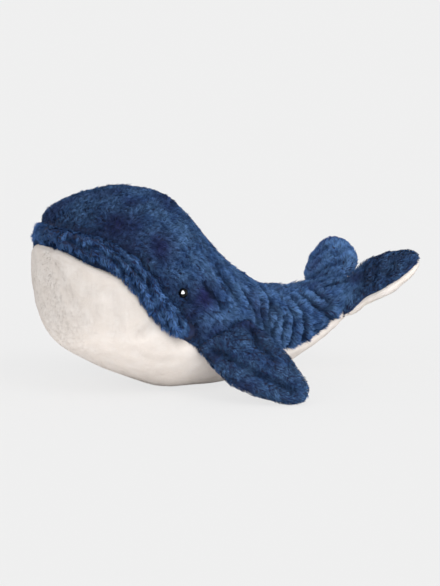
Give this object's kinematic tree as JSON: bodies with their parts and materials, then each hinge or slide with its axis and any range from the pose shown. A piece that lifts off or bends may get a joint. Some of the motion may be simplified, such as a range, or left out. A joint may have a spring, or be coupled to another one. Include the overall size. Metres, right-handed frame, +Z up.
{
  "type": "plush whale",
  "caption": "Stuffed toy whale lying on its belly, with a domed head, a rolled lip, safety eyes, flapping flippers and a raised tail with flukes.",
  "frame": {"origin": "on the floor, under the middle of the bounding box", "axes": "+Z up, nose towards -Y, the whale's left side towards +X"},
  "size_m": [0.3724, 0.4374, 0.224],
  "materials": {
    "blue_fur_fabric": "short dense fur pile, matt with a soft sheen",
    "ecru_pile_fabric": "very short smooth pile, matt",
    "polyester_filling": "loose fibre, matt",
    "black_moulded_plastic": "polished",
    "natural_nylon": "as moulded"
  },
  "bodies": {
    "torso": {"back_panel": "blue_fur_fabric", "belly_panel": "ecru_pile_fabric", "body_stuffing": "polyester_filling", "lip_roll": "blue_fur_fabric", "lip_stuffing": "polyester_filling", "eye_left": "black_moulded_plastic", "eye_right": "black_moulded_plastic", "eye_washer_left": "natural_nylon", "eye_washer_right": "natural_nylon"},
    "tail": {"tail_top": "blue_fur_fabric", "tail_underside": "ecru_pile_fabric", "tail_stuffing": "polyester_filling"},
    "flipper_left": {"flipper_left_upper": "blue_fur_fabric", "flipper_left_lower": "blue_fur_fabric", "flipper_left_stuffing": "polyester_filling"},
    "fluke_left": {"fluke_left_top": "blue_fur_fabric", "fluke_left_underside": "ecru_pile_fabric", "fluke_left_stuffing": "polyester_filling"},
    "flipper_right": {"flipper_right_upper": "blue_fur_fabric", "flipper_right_lower": "blue_fur_fabric", "flipper_right_stuffing": "polyester_filling"},
    "fluke_right": {"fluke_right_top": "blue_fur_fabric", "fluke_right_underside": "ecru_pile_fabric", "fluke_right_stuffing": "polyester_filling"}
  },
  "joints": [
    {"name": "tail_bend", "type": "hinge", "parent": "torso", "child": "tail", "pos_m": [0, 0.06086, 0.058], "axis": [1, 0, 0], "range_deg": [-8, 25], "stiffness_Nm_per_rad": 4},
    {"name": "flipper_left_flap", "type": "hinge", "parent": "torso", "child": "flipper_left", "pos_m": [0.1, -0.04114, 0.0617], "axis": [0.1635, -0.9189, -0.3591], "range_deg": [0, 35], "stiffness_Nm_per_rad": 0.3},
    {"name": "flipper_right_flap", "type": "hinge", "parent": "torso", "child": "flipper_right", "pos_m": [-0.1, -0.04114, 0.0617], "axis": [0.1635, 0.9189, 0.3591], "range_deg": [0, 35], "stiffness_Nm_per_rad": 0.3},
    {"name": "fluke_left_flap", "type": "hinge", "parent": "tail", "child": "fluke_left", "pos_m": [0.0292, 0.16486, 0.088], "axis": [0.6947, -0.5086, -0.5086], "range_deg": [-20, 15], "stiffness_Nm_per_rad": 0.3},
    {"name": "fluke_right_flap", "type": "hinge", "parent": "tail", "child": "fluke_right", "pos_m": [-0.0292, 0.16486, 0.088], "axis": [0.6947, 0.5086, 0.5086], "range_deg": [-20, 15], "stiffness_Nm_per_rad": 0.3}
  ]
}
